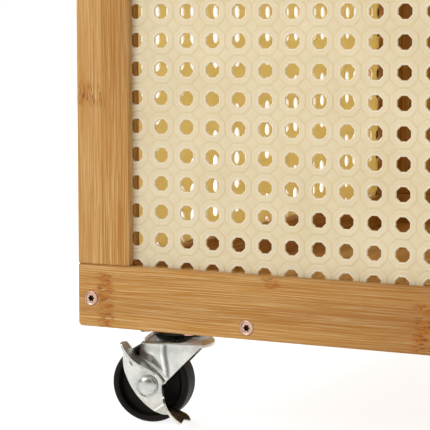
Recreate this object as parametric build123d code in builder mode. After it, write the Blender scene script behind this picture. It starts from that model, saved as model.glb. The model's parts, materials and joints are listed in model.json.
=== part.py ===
"""Two-compartment laundry sorter on wheels: bamboo frames, cane panels, hinged lids and swivel casters.

Origin on the ground under the middle of the sorter. The front faces -Y, and +X is to its right.
"""
import os
from math import cos, radians, sin, sqrt

from build123d import *

# ---- Driving dimensions, mm ----
WIDTH = 600.0
DEPTH = 400.0
BASE = 48.5  # ground to the underside of the frame, the height of a caster
RAIL = 30.0  # height of the front, side and back rails
POST = 28.0  # width of the posts and stiles
FRONT_THICK = 8.0  # the front frame is face-screwed to the others
BAR_THICK = 14.0  # side, back, divider and lid frames
CANE_PITCH = 13.25  # hole spacing of the cane webbing
CANE_ROWS = 39  # hole rows between the bottom and the top rail
BODY_HEIGHT = 2 * RAIL + CANE_ROWS * CANE_PITCH

EASE = 1.0  # rounding of every bar's edges
RAIL_CORNER = 2.0  # rounding of the front rails' outer corners
PANEL_THICK = 1.2
PANEL_SETBACK = 3.9  # front face of the frame to the front panel
PANEL_TUCK = 5.0  # how far a panel reaches into its grooves
GROOVE_PLAY = 0.3  # room round a panel in its groove

FLOOR_THICK = 11.0
FLOOR_GAP = 2.0
FLOOR_SLAT = 39.5
FLOOR_BOARD = 161.3

SCREW_HEAD_R = 3.5
SCREW_CORE_R = 1.6
SCREW_LENGTH = 30.0
SCREW_POINT = 4.0
SCREW_RIM = 0.15
SCREW_SINK = 0.1
SOCKET_R = 1.2
SOCKET_LOBE_R = 0.45
SOCKET_DEPTH = 1.3
SEAT_PLAY = 0.03
CORNER_SCREW = (7.1, 13.6)  # from the frame's end and from its edge
FLOOR_SCREW_Z = FLOOR_THICK / 2
FLOOR_SCREWS_X = (88.7, 183.8)  # from each end of the front rail
DIVIDER_SCREWS = (0.2, 0.75)  # shares of the body's height above the floor
BACK_SCREW_INSET = 40.0  # from the rails to the upper and lower screws of the back frame

LID_GAP = 0.5
LID_SPLIT = 2.0  # between the two lids
HINGE_OFFSET = 90.0  # each side of a lid's middle
HINGE_WIDTH = 30.0
FIXED_LEAF = 20.0
LID_LEAF = 10.0
LEAF_THICK = 1.2
KNUCKLE_R = 2.5
KNUCKLE_PLAY = 0.3
PIN_R = 1.25
PIN_PLAY = 0.05
PIN_OVER = 0.5  # how far a pin stands out of its hinge at each end
PIN_STAND_OFF = 3.0  # pin axis behind the back face

CASTER_IN_X = 38.0  # swivel axis from the frame's ends
CASTER_IN_Y = 30.0  # swivel axis from the front and the back
PLATE_SIZE = 34.0
PLATE_CORNER_R = 4.0
PLATE_THICK = 2.0
PLATE_HOLES = 23.0  # spacing of the four screw holes
PLATE_HOLE_R = 2.1
PLATE_SCREW_HEAD_R = 3.3
PLATE_SCREW_HEAD = 1.6
PLATE_SCREW_CORE_R = 1.8
PLATE_SCREW_LENGTH = 10.5
RACE_R = 12.5
RACE_TAPER = 8.0  # degrees
RACE_BOTTOM = 43.7
CROWN_R = 18.1
CROWN_TOP = 40.4
CROWN_THICK = 2.4
CROWN_EASE = 1.0
DOME_R = 16.0  # the raised middle of the crown, under the ball race
DOME = 2.8
DOME_TAPER = 45.0  # degrees
KINGPIN_R = 3.0
KINGPIN_HEAD_R = 5.2
KINGPIN_HEAD = 1.2
KINGPIN_GAP = 0.3  # from the crown's underside to the kingpin's head
HEAD_TAPER = 22.0  # degrees, heads of the kingpin and the plate screws
CHEEK_IN = 8.8  # swivel axis to the inside of a fork cheek
CHEEK_THICK = 1.6
TRAIL = 12.0
WHEEL_R = 19.0
WHEEL_WIDTH = 16.0
AXLE_R = 3.0
AXLE_HEAD_R = 4.8
AXLE_HEAD = 1.8
FORK_PLAY = 0.1
CHEEK_TOP_BACK = 16.9
CHEEK_TOP_FRONT = 14.0
CHEEK_SHOULDER = 33.0
CHEEK_END_R = 6.0
WHEEL_SHOULDER = 2.0
WHEEL_RECESS = 2.5
RIM_INNER_R = 16.0
RIM_SLOPE = 0.6
TREAD_EASE = 1.2
HUB_R = 6.5
LEVER_THICK = 1.2
LEVER_PLAY = 0.3
LEVER_TONGUE = 11.0  # how far the tongues stand out
LEVER_TIP_R = 5.0
# Edges of the lever in its own plane, from the axle: start, middle and end of each arc.
LEVER_UPPER = ((-11.4, 20.9), (-3.9, 11.8), (6.6, 3.0))
LEVER_LOWER = ((8.6, -2.5), (11.5, -10.6), (20.1, -16.6))
LEVER_SIDE = (9.6, -6.8)
LEVER_HEEL = ((11.5, -10.6), (-4.6, -8.3), (-13.2, 6.8))

# ---- Planes and levels worked out from them ----
LEFT, RIGHT = -WIDTH / 2, WIDTH / 2
FRONT = -(DEPTH + PIN_STAND_OFF + KNUCKLE_R) / 2  # the hinge knuckles stand out behind the frame
BACK = FRONT + DEPTH
MID_Y = (FRONT + BACK) / 2
TOP = BASE + BODY_HEIGHT
FRONT_IN = FRONT + FRONT_THICK
BACK_IN = BACK - BAR_THICK
SIDE_IN = RIGHT - BAR_THICK
RAIL_TOP = BASE + RAIL
RAIL_UNDER = TOP - RAIL
FLOOR_TOP = BASE + FLOOR_THICK
LID_BOTTOM = TOP + LID_GAP
LID_TOP = LID_BOTTOM + BAR_THICK
HINGE_Y = BACK + PIN_STAND_OFF
HINGE_Z = TOP + LID_GAP / 2

os.makedirs("parts", exist_ok=True)


def save(piece, name):
    """Label a finished piece and write its STEP file."""
    piece.part.label = name
    export_step(piece.part, f"parts/{name}.step")
    print(name, round(piece.part.volume))


def middle(low, high):
    """Centre of the block between two corners."""
    return tuple((a + b) / 2 for a, b in zip(low, high))


def extent(low, high):
    """Size of the block between two corners."""
    return tuple(b - a for a, b in zip(low, high))


def grown(low, high, play):
    """The block between two corners, larger by the play on every side."""
    return tuple(a - play for a in low), tuple(b + play for b in high)


# ---- Fasteners ----
def wood_screw(length):
    """Countersunk screw with a star socket, its head's face at the origin and facing +Z."""
    cone = SCREW_HEAD_R - SCREW_CORE_R
    with BuildPart() as screw:
        with BuildSketch(Plane.XZ):
            with BuildLine():
                Polyline(
                    (0, 0),
                    (SCREW_HEAD_R, 0),
                    (SCREW_HEAD_R, -SCREW_RIM),
                    (SCREW_CORE_R, -SCREW_RIM - cone),
                    (SCREW_CORE_R, -length + SCREW_POINT),
                    (0, -length),
                    close=True,
                )
            make_face()
        revolve(axis=Axis.Z)
        with BuildSketch(Plane.XY):
            Circle(SOCKET_R)
            with PolarLocations(SOCKET_R, 6):
                Circle(SOCKET_LOBE_R)
        extrude(amount=-SOCKET_DEPTH, mode=Mode.SUBTRACT)
    return screw


def screw_seat(place):
    """Cut the countersink and the clearance hole of one screw, its face at the given plane."""
    seat_r = SCREW_HEAD_R + SCREW_SINK + SCREW_RIM + SEAT_PLAY
    with Locations(place):
        CounterSinkHole(SCREW_CORE_R + SEAT_PLAY, seat_r, counter_sink_angle=90, depth=BAR_THICK + 2)


def facing_front(x, z):
    return Plane(origin=(x, FRONT, z), x_dir=(1, 0, 0), z_dir=(0, -1, 0))


def facing_back(x, z):
    return Plane(origin=(x, BACK, z), x_dir=(-1, 0, 0), z_dir=(0, 1, 0))


def facing_side(side, y, z):
    return Plane(origin=(side * RIGHT, y, z), x_dir=(0, side, 0), z_dir=(side, 0, 0))


def screw_group(name, places, length=SCREW_LENGTH):
    """Identical screws, one at each place, their heads sunk just under the face."""
    screw = wood_screw(length)
    with BuildPart() as group:
        with Locations(*[place.offset(-SCREW_SINK) for place in places]):
            add(screw.part)
    save(group, name)


corner_x, corner_z = CORNER_SCREW
end_xs = (LEFT + corner_x, RIGHT - corner_x)
floor_xs = [side * (RIGHT - x) for side in (-1, 1) for x in FLOOR_SCREWS_X]
divider_zs = [FLOOR_TOP + BODY_HEIGHT * share for share in DIVIDER_SCREWS]
back_zs = (RAIL_TOP + BACK_SCREW_INSET, (BASE + TOP) / 2, RAIL_UNDER - BACK_SCREW_INSET)
floor_ys = (MID_Y - DEPTH / 4, MID_Y + DEPTH / 4)

bottom_places = [facing_front(x, BASE + corner_z) for x in end_xs]
bottom_places += [facing_front(x, BASE + FLOOR_SCREW_Z) for x in floor_xs]
top_places = [facing_front(x, TOP - corner_z) for x in end_xs]
centre_places = [facing_front(0, z) for z in divider_zs]
back_floor_places = [facing_back(x, BASE + FLOOR_SCREW_Z) for x in floor_xs]
back_centre_places = [facing_back(0, z) for z in divider_zs]


# ---- Bamboo bars and boards ----
def bar(name, low, high, grooves=(), screws=(), outer_corner=None):
    """One bar between two corners, its edges eased, with grooves for the panels it holds."""
    with BuildPart() as piece:
        with Locations(middle(low, high)):
            Box(*extent(low, high))
        if outer_corner is not None:
            ends = piece.edges().filter_by(Axis.Y).group_by(Axis.Z)[outer_corner]
            fillet(ends, RAIL_CORNER)
        fillet(piece.edges().filter_by(lambda edge: edge.geom_type == GeomType.LINE), EASE)
        for groove in grooves:
            with Locations(middle(*groove)):
                Box(*extent(*groove), mode=Mode.SUBTRACT)
        for place in screws:
            screw_seat(place)
    save(piece, name)


def panel(name, low, high):
    """One sheet of cane webbing, plain here."""
    with BuildPart() as piece:
        with Locations(middle(low, high)):
            Box(*extent(low, high))
    save(piece, name)


# Front frame: rails run the full width and the posts stand between them.
front_panel_y = FRONT + PANEL_SETBACK
half_post = POST / 2
front_bays = {"left": (LEFT + POST, -half_post), "right": (half_post, RIGHT - POST)}
front_panels = {
    side: (
        (x0 - PANEL_TUCK, front_panel_y, RAIL_TOP - PANEL_TUCK),
        (x1 + PANEL_TUCK, front_panel_y + PANEL_THICK, RAIL_UNDER + PANEL_TUCK),
    )
    for side, (x0, x1) in front_bays.items()
}
front_grooves = {side: grown(*box, GROOVE_PLAY) for side, box in front_panels.items()}
both_front = tuple(front_grooves.values())

bar("front_bottom_rail", (LEFT, FRONT, BASE), (RIGHT, FRONT_IN, RAIL_TOP), both_front, bottom_places, 0)
bar("front_top_rail", (LEFT, FRONT, RAIL_UNDER), (RIGHT, FRONT_IN, TOP), both_front, top_places, -1)
front_posts = {
    "front_post_left": (LEFT, [front_grooves["left"]], ()),
    "front_centre_post": (-half_post, both_front, centre_places),
    "front_post_right": (RIGHT - POST, [front_grooves["right"]], ()),
}
for name, (x, grooves, screws) in front_posts.items():
    bar(name, (x, FRONT, RAIL_TOP), (x + POST, FRONT_IN, RAIL_UNDER), grooves, screws)
for side, box in front_panels.items():
    panel(f"front_panel_{side}", *box)

# Side frames, behind the front frame and right to the back.
for side, name in ((-1, "left"), (1, "right")):
    x0, x1 = sorted((side * SIDE_IN, side * RIGHT))
    panel_x = (x0 + x1 - PANEL_THICK) / 2
    box = (
        (panel_x, FRONT_IN + POST - PANEL_TUCK, RAIL_TOP - PANEL_TUCK),
        (panel_x + PANEL_THICK, BACK - POST + PANEL_TUCK, RAIL_UNDER + PANEL_TUCK),
    )
    groove = [grown(*box, GROOVE_PLAY)]
    floor_places = [facing_side(side, y, BASE + FLOOR_SCREW_Z) for y in floor_ys]
    back_places = [facing_side(side, BACK - BAR_THICK / 2, z) for z in back_zs]
    bar(f"{name}_bottom_rail", (x0, FRONT_IN, BASE), (x1, BACK, RAIL_TOP), groove, floor_places)
    bar(f"{name}_top_rail", (x0, FRONT_IN, RAIL_UNDER), (x1, BACK, TOP), groove)
    bar(f"{name}_front_stile", (x0, FRONT_IN, RAIL_TOP), (x1, FRONT_IN + POST, RAIL_UNDER), groove)
    bar(f"{name}_rear_stile", (x0, BACK - POST, RAIL_TOP), (x1, BACK, RAIL_UNDER), groove, back_places)
    panel(f"{name}_panel", *box)

# Back frame, between the side frames.
back_panel_y = BACK - (BAR_THICK + PANEL_THICK) / 2
back_bays = {"left": (-SIDE_IN + POST, -half_post), "right": (half_post, SIDE_IN - POST)}
back_panels = {
    side: (
        (x0 - PANEL_TUCK, back_panel_y, RAIL_TOP - PANEL_TUCK),
        (x1 + PANEL_TUCK, back_panel_y + PANEL_THICK, RAIL_UNDER + PANEL_TUCK),
    )
    for side, (x0, x1) in back_bays.items()
}
back_grooves = {side: grown(*box, GROOVE_PLAY) for side, box in back_panels.items()}
both_back = tuple(back_grooves.values())

bar("back_bottom_rail", (-SIDE_IN, BACK_IN, BASE), (SIDE_IN, BACK, RAIL_TOP), both_back, back_floor_places)
bar("back_top_rail", (-SIDE_IN, BACK_IN, RAIL_UNDER), (SIDE_IN, BACK, TOP), both_back)
back_stiles = {
    "back_stile_left": (-SIDE_IN, [back_grooves["left"]], ()),
    "back_centre_stile": (-half_post, both_back, back_centre_places),
    "back_stile_right": (SIDE_IN - POST, [back_grooves["right"]], ()),
}
for name, (x, grooves, screws) in back_stiles.items():
    bar(name, (x, BACK_IN, RAIL_TOP), (x + POST, BACK, RAIL_UNDER), grooves, screws)
for side, box in back_panels.items():
    panel(f"back_panel_{side}", *box)

screw_group("front_screws", bottom_places + top_places + centre_places)
side_places = [facing_side(side, y, BASE + FLOOR_SCREW_Z) for side in (-1, 1) for y in floor_ys]
side_places += [facing_side(side, BACK - BAR_THICK / 2, z) for side in (-1, 1) for z in back_zs]
screw_group("frame_screws", side_places + back_floor_places + back_centre_places)

# Floor: boards that run from front to back, level with the frame's underside.
floor_x = -SIDE_IN
floor_widths = {
    "floor_slat_left": FLOOR_SLAT,
    "floor_board_left": FLOOR_BOARD,
    "floor_board_centre": 2 * (SIDE_IN - FLOOR_SLAT - FLOOR_BOARD - 2 * FLOOR_GAP),
    "floor_board_right": FLOOR_BOARD,
    "floor_slat_right": FLOOR_SLAT,
}
for name, width in floor_widths.items():
    bar(name, (floor_x, FRONT_IN, BASE), (floor_x + width, BACK_IN, FLOOR_TOP))
    floor_x += width + FLOOR_GAP


# ---- Flat frames of four bars: the divider and the lids ----
def flat_frame(name, plane, width, height, panel_name):
    """Four bars round a panel, centred on the plane: rails across the full width, stiles between them."""
    inner = height - 2 * POST
    groove = (width - 2 * POST + 2 * (PANEL_TUCK + GROOVE_PLAY), inner + 2 * (PANEL_TUCK + GROOVE_PLAY))
    places = {
        (width, POST): [(0, -(height - POST) / 2), (0, (height - POST) / 2)],
        (POST, inner): [(-(width - POST) / 2, 0), ((width - POST) / 2, 0)],
    }
    bars = []
    for size, centres in places.items():
        for centre in centres:
            with BuildPart(plane) as piece:
                with Locations((*centre, 0)):
                    Box(*size, BAR_THICK)
                fillet(piece.edges(), EASE)
                Box(*groove, PANEL_THICK + 2 * GROOVE_PLAY, mode=Mode.SUBTRACT)
            bars.append(piece.part.solid())
    group = BuildPart()
    group.part = Part(Compound(children=bars).wrapped)
    save(group, name)
    with BuildPart(plane) as sheet:
        Box(width - 2 * POST + 2 * PANEL_TUCK, inner + 2 * PANEL_TUCK, PANEL_THICK)
    save(sheet, panel_name)


divider_plane = Plane(
    origin=(0, (FRONT_IN + BACK_IN) / 2, (FLOOR_TOP + TOP) / 2), x_dir=(0, 1, 0), z_dir=(1, 0, 0)
)
flat_frame("divider_frame", divider_plane, BACK_IN - FRONT_IN, TOP - FLOOR_TOP, "divider_panel")

lid_width = (WIDTH - LID_SPLIT) / 2
lid_centre_x = (WIDTH + LID_SPLIT) / 4
for side, name in ((-1, "left"), (1, "right")):
    lid_plane = Plane(origin=(side * lid_centre_x, MID_Y, (LID_BOTTOM + LID_TOP) / 2))
    flat_frame(f"lid_{name}_frame", lid_plane, lid_width, DEPTH, f"lid_{name}_panel")


# ---- Butt hinges on the back faces ----
def hinge_leaf(name, up, xs):
    """Leaves of one kind: up is +1 for the lid's leaf and middle knuckle, -1 for the fixed ones."""
    third = HINGE_WIDTH / 3
    bore = PIN_R + (PIN_PLAY if up > 0 else 0)
    knuckles = [(0, third - 2 * KNUCKLE_PLAY)] if up > 0 else [(-third, third), (third, third)]
    clear = KNUCKLE_R + KNUCKLE_PLAY
    leaf = LID_LEAF if up > 0 else FIXED_LEAF
    with BuildPart() as group:
        for x in xs:
            with Locations((x, BACK + LEAF_THICK / 2, HINGE_Z + up * (clear + leaf / 2))):
                Box(HINGE_WIDTH, LEAF_THICK, leaf)
            for shift, width in knuckles:
                with Locations((x + shift, BACK + LEAF_THICK / 2, HINGE_Z + up * clear / 2)):
                    Box(width, LEAF_THICK, clear)
                with Locations(Plane(origin=(x + shift, HINGE_Y, HINGE_Z), z_dir=(1, 0, 0))):
                    Cylinder(KNUCKLE_R, width)
            with Locations(Plane(origin=(x, HINGE_Y, HINGE_Z), z_dir=(1, 0, 0))):
                Cylinder(bore, HINGE_WIDTH + 2 * PIN_OVER, mode=Mode.SUBTRACT)
    save(group, name)


lid_hinges = {
    name: [side * lid_centre_x + shift for shift in (-HINGE_OFFSET, HINGE_OFFSET)]
    for side, name in ((-1, "left"), (1, "right"))
}
all_hinges = lid_hinges["left"] + lid_hinges["right"]
hinge_leaf("hinge_fixed_leaves", -1, all_hinges)
for name, xs in lid_hinges.items():
    hinge_leaf(f"lid_{name}_hinge_leaves", 1, xs)

with BuildPart() as hinge_pins:
    for x in all_hinges:
        with Locations(Plane(origin=(x, HINGE_Y, HINGE_Z), z_dir=(1, 0, 0))):
            Cylinder(PIN_R, HINGE_WIDTH + 2 * PIN_OVER)
save(hinge_pins, "hinge_pins")

# ---- Casters ----
CASTERS = {  # name: (side in X, side in Y, yaw in degrees, has a brake)
    "front_left": (-1, -1, 12, True),
    "front_right": (1, -1, 7, True),
    "rear_left": (-1, 1, 15, False),
    "rear_right": (1, 1, 10, False),
}


def caster_place(name, height=0.0):
    """Plane at a caster's swivel axis, its x opposite to the trail and its y along the axle."""
    side_x, side_y, yaw, _ = CASTERS[name]
    origin = (side_x * (RIGHT - CASTER_IN_X), MID_Y + side_y * (DEPTH / 2 - CASTER_IN_Y), height)
    return Plane(origin=origin, x_dir=(cos(radians(yaw)), sin(radians(yaw)), 0), z_dir=(0, 0, 1))


def square_place(name, height):
    """Plane at a caster's swivel axis, square to the frame."""
    return Plane(origin=caster_place(name, height).origin)


plate_bottom = BASE - PLATE_THICK
with BuildPart() as caster_plates:
    for name in CASTERS:
        with BuildSketch(square_place(name, plate_bottom)):
            RectangleRounded(PLATE_SIZE, PLATE_SIZE, PLATE_CORNER_R)
            with GridLocations(PLATE_HOLES, PLATE_HOLES, 2, 2):
                Circle(PLATE_HOLE_R, mode=Mode.SUBTRACT)
        extrude(amount=PLATE_THICK)
        with BuildSketch(square_place(name, plate_bottom)):
            Circle(RACE_R)
        extrude(amount=RACE_BOTTOM - plate_bottom, taper=RACE_TAPER)
        with Locations(square_place(name, BASE)):
            Hole(KINGPIN_R, BASE - RACE_BOTTOM)
save(caster_plates, "caster_plates")

crown_bottom = CROWN_TOP - CROWN_THICK
head_top = crown_bottom - KINGPIN_GAP
with BuildPart() as caster_kingpins:
    for name in CASTERS:
        with BuildSketch(square_place(name, head_top)):
            Circle(KINGPIN_R)
        extrude(amount=BASE - head_top)
        with BuildSketch(square_place(name, head_top)):
            Circle(KINGPIN_HEAD_R)
        extrude(amount=-KINGPIN_HEAD, taper=HEAD_TAPER)
save(caster_kingpins, "caster_kingpins")

with BuildPart() as caster_screws:
    for name in CASTERS:
        with BuildSketch(square_place(name, plate_bottom)):
            with GridLocations(PLATE_HOLES, PLATE_HOLES, 2, 2):
                Circle(PLATE_SCREW_HEAD_R)
        extrude(amount=-PLATE_SCREW_HEAD, taper=HEAD_TAPER)
        with BuildSketch(square_place(name, plate_bottom)):
            with GridLocations(PLATE_HOLES, PLATE_HOLES, 2, 2):
                Circle(PLATE_SCREW_CORE_R)
        extrude(amount=PLATE_SCREW_LENGTH)
save(caster_screws, "caster_screws")

cheek_out = CHEEK_IN + CHEEK_THICK


def fork(name, place, outward):
    """Stamped fork: a domed crown, round fore and aft, and two cheeks that narrow down to the axle."""
    cheek_top = CROWN_TOP - CROWN_THICK / 2
    end_back, end_front = (-TRAIL - CHEEK_END_R, WHEEL_R), (-TRAIL + CHEEK_END_R, WHEEL_R)
    with BuildPart() as piece:
        with BuildSketch(place.offset(crown_bottom)):
            Circle(CROWN_R)
            Rectangle(2 * CROWN_R, 2 * cheek_out, mode=Mode.INTERSECT)
        extrude(amount=CROWN_THICK)
        fillet(piece.edges().group_by(Axis.Z)[-1], CROWN_EASE)
        with BuildSketch(place.offset(CROWN_TOP)):
            Circle(DOME_R)
            Rectangle(2 * DOME_R, 2 * (cheek_out - CROWN_EASE), mode=Mode.INTERSECT)
        extrude(amount=DOME, taper=DOME_TAPER)
        for sign in (-1, 1):
            with BuildSketch(outward.offset(sign * CHEEK_IN)):
                with BuildLine():
                    Polyline(end_front, (CHEEK_TOP_FRONT, cheek_top), (-CHEEK_TOP_BACK, cheek_top))
                    Polyline((-CHEEK_TOP_BACK, cheek_top), (-CHEEK_TOP_BACK, CHEEK_SHOULDER), end_back)
                    ThreePointArc(end_back, (-TRAIL, WHEEL_R - CHEEK_END_R), end_front)
                make_face()
                with Locations((-TRAIL, WHEEL_R)):
                    Circle(AXLE_R, mode=Mode.SUBTRACT)
            extrude(amount=sign * CHEEK_THICK)
        with Locations(place.offset(CROWN_TOP + DOME)):
            Hole(KINGPIN_R + FORK_PLAY, CROWN_THICK + DOME)
    save(piece, f"{name}_fork")


def wheel(name, hub):
    """Moulded wheel: tread with rounded shoulders, a rim ring on each side, a thin web and a hub."""
    half = WHEEL_WIDTH / 2
    rim = half - WHEEL_SHOULDER
    with BuildPart() as piece:
        with BuildSketch(hub):
            with BuildLine():
                Polyline(
                    (WHEEL_R, rim),
                    (WHEEL_R, -rim),
                    (WHEEL_R - WHEEL_SHOULDER, -half),
                    (RIM_INNER_R, -half),
                    (RIM_INNER_R - RIM_SLOPE, -half + WHEEL_RECESS),
                    (HUB_R, -half + WHEEL_RECESS),
                    (HUB_R, -half),
                    (AXLE_R + PIN_PLAY, -half),
                    (AXLE_R + PIN_PLAY, half),
                    (HUB_R, half),
                    (HUB_R, half - WHEEL_RECESS),
                    (RIM_INNER_R - RIM_SLOPE, half - WHEEL_RECESS),
                    (RIM_INNER_R, half),
                    (WHEEL_R - WHEEL_SHOULDER, half),
                    close=True,
                )
            make_face()
        revolve(axis=Axis(hub.origin, hub.y_dir))
        tread = piece.edges().filter_by(GeomType.CIRCLE).sort_by(SortBy.RADIUS)[-2:]
        fillet(tread, TREAD_EASE)
    save(piece, f"{name}_wheel")


def axle(name, hub, near):
    """Axle rivet with a domed head on each side; near is where its outer head starts."""
    ball = (AXLE_HEAD_R**2 + AXLE_HEAD**2) / (2 * AXLE_HEAD)
    dome_r = AXLE_HEAD_R / 2
    dome = sqrt(ball**2 - dome_r**2) - ball + AXLE_HEAD
    far = cheek_out
    with BuildPart() as piece:
        with BuildSketch(hub):
            with BuildLine():
                ThreePointArc((0, -near - AXLE_HEAD), (dome_r, -near - dome), (AXLE_HEAD_R, -near))
                Polyline((AXLE_HEAD_R, -near), (AXLE_R, -near), (AXLE_R, far), (AXLE_HEAD_R, far))
                ThreePointArc((AXLE_HEAD_R, far), (dome_r, far + dome), (0, far + AXLE_HEAD))
                Line((0, far + AXLE_HEAD), (0, -near - AXLE_HEAD))
            make_face()
        revolve(axis=Axis(hub.origin, hub.y_dir))
    save(piece, f"{name}_axle")


def brake_lever(name, face):
    """Stamped rocker on the axle: a plate with two curved tongues bent outward for the foot."""
    with BuildPart() as piece:
        with BuildSketch(face):
            with BuildLine():
                upper = ThreePointArc(*LEVER_UPPER)
                neck = Line(upper @ 1, LEVER_LOWER[0])
                side = ThreePointArc(neck @ 1, LEVER_SIDE, LEVER_HEEL[0])
                belly = ThreePointArc(side @ 1, LEVER_HEEL[1], LEVER_HEEL[2])
                Line(belly @ 1, upper @ 0)
            make_face()
            Circle(AXLE_R + FORK_PLAY, mode=Mode.SUBTRACT)
        extrude(amount=LEVER_THICK)
        for arc in (LEVER_UPPER, LEVER_LOWER):
            with BuildSketch(face):
                with BuildLine():
                    ThreePointArc(*arc)
                trace(line_width=LEVER_THICK)
            extrude(amount=LEVER_TONGUE)
        out = Axis(face.origin, face.z_dir)
        ends = piece.edges().group_by(out)[-1]
        tips = ends.filter_by(lambda edge: edge.length < 1.2 * LEVER_THICK)
        fillet(tips, LEVER_TIP_R)
    save(piece, f"{name}_brake_lever")


for name, (_, _, yaw, braked) in CASTERS.items():
    place = caster_place(name)
    outward = Plane(origin=place.origin, x_dir=place.x_dir, z_dir=-place.y_dir)
    hub = Plane(origin=place.from_local_coords((-TRAIL, 0, WHEEL_R)), x_dir=place.x_dir, z_dir=place.z_dir)
    fork(name, place, outward)
    wheel(name, hub)
    lever_room = LEVER_THICK + 2 * LEVER_PLAY if braked else 0
    axle(name, hub, cheek_out + lever_room)
    if braked:
        face = Plane(origin=hub.origin, x_dir=hub.x_dir, z_dir=-hub.y_dir).offset(cheek_out + LEVER_PLAY)
        brake_lever(name, face)
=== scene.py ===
"""Laundry sorter on wheels: bamboo frames, stamped cane panels, zinc-plated casters.

Lengths are in metres, in the row frame: +Z up, the front faces -Y, the ground is Z = 0. Tables of
small shapes are in mm and say so.
"""
import json
import math

import bmesh
import bpy
import numpy as np
from mathutils import Matrix, Vector


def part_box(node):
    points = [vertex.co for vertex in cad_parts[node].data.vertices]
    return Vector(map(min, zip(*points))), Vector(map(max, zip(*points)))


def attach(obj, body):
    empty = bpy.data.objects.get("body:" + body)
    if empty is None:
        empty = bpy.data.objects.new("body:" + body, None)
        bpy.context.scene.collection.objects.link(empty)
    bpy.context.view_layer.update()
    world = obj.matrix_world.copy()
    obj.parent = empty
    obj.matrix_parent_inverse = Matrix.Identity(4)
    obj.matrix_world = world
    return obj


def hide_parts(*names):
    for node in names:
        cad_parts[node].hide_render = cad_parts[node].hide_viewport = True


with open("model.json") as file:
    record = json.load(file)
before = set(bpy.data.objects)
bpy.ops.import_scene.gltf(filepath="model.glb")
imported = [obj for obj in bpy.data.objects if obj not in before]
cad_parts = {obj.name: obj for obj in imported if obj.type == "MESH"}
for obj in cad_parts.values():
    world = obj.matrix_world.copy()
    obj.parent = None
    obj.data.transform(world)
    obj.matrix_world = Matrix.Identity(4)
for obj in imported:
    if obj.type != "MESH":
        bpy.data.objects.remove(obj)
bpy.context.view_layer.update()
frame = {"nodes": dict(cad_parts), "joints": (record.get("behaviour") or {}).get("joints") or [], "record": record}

MM = 0.001


# ---------------------------------------------------------------- shader helpers
class Shader:
    """A material's node tree, with short calls that make one node each and return its output."""

    def __init__(self, name):
        self.material = bpy.data.materials.new(name)
        self.material.use_nodes = True
        self.tree = self.material.node_tree
        self.surface = self.tree.nodes["Principled BSDF"]
        self.point = self.tree.nodes.new("ShaderNodeTexCoord").outputs["Object"]

    def put(self, socket, value):
        """Link a node's output to a socket, or set the socket to a number or a colour."""
        if isinstance(value, bpy.types.NodeSocket):
            self.tree.links.new(value, socket)
        elif value is not None:
            socket.default_value = value

    def math(self, operation, a, b=None, c=None):
        node = self.tree.nodes.new("ShaderNodeMath")
        node.operation = operation
        for socket, value in zip(node.inputs, (a, b, c)):
            self.put(socket, value)
        return node.outputs[0]

    def add(self, *terms):
        total = terms[0]
        for term in terms[1:]:
            total = self.math("ADD", total, term)
        return total

    def times(self, *terms):
        total = terms[0]
        for term in terms[1:]:
            total = self.math("MULTIPLY", total, term)
        return total

    def ramp(self, value, low, high, to_low=0.0, to_high=1.0):
        """A smooth step of a value from low..high to to_low..to_high."""
        node = self.tree.nodes.new("ShaderNodeMapRange")
        node.interpolation_type = "SMOOTHSTEP"
        for socket, v in zip(node.inputs, (value, low, high, to_low, to_high)):
            self.put(socket, v)
        return node.outputs[0]

    def split(self, vector):
        node = self.tree.nodes.new("ShaderNodeSeparateXYZ")
        self.put(node.inputs[0], vector)
        return node.outputs

    def join(self, x, y, z):
        node = self.tree.nodes.new("ShaderNodeCombineXYZ")
        for socket, value in zip(node.inputs, (x, y, z)):
            self.put(socket, value)
        return node.outputs[0]

    def noise(self, vector, scale=1.0, detail=2.0, rough=0.5):
        node = self.tree.nodes.new("ShaderNodeTexNoise")
        self.put(node.inputs["Vector"], vector)
        for key, value in (("Scale", scale), ("Detail", detail), ("Roughness", rough)):
            node.inputs[key].default_value = value
        return node.outputs["Fac"]

    def random(self, vector):
        """A random number for each whole-numbered vector."""
        node = self.tree.nodes.new("ShaderNodeTexWhiteNoise")
        self.put(node.inputs["Vector"], vector)
        return node.outputs["Value"]

    def attribute(self, name):
        node = self.tree.nodes.new("ShaderNodeAttribute")
        node.attribute_name = name
        return node.outputs["Fac"]

    def blend(self, factor, a, b):
        node = self.tree.nodes.new("ShaderNodeMix")
        node.data_type = "RGBA"
        self.put(node.inputs[0], factor)
        for socket, value in ((node.inputs[6], a), (node.inputs[7], b)):
            self.put(socket, (*value, 1.0) if isinstance(value, tuple) else value)
        return node.outputs[2]

    def bump(self, height, strength, distance):
        node = self.tree.nodes.new("ShaderNodeBump")
        self.put(node.inputs["Height"], height)
        node.inputs["Strength"].default_value = strength
        node.inputs["Distance"].default_value = distance
        self.put(self.surface.inputs["Normal"], node.outputs[0])

    def set(self, **values):
        """Set or link the surface shader's sockets; an underscore in a name stands for a space."""
        for key, value in values.items():
            if isinstance(value, tuple):
                value = (*value, 1.0)
            self.put(self.surface.inputs[key.replace("_", " ")], value)


# ---------------------------------------------------------------- bamboo
AXES = {"x": 0, "y": 1, "z": 2}
BAMBOO_PALE = (0.620, 0.430, 0.200)
BAMBOO_LIGHT = (0.500, 0.280, 0.084)
BAMBOO_MID = (0.415, 0.188, 0.032)
BAMBOO_ORANGE = (0.375, 0.140, 0.012)
BAMBOO_DARK = (0.215, 0.068, 0.008)
KNOT_HAZE = (0.350, 0.115, 0.010)
KNOT_DASH = (0.160, 0.040, 0.004)


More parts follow.
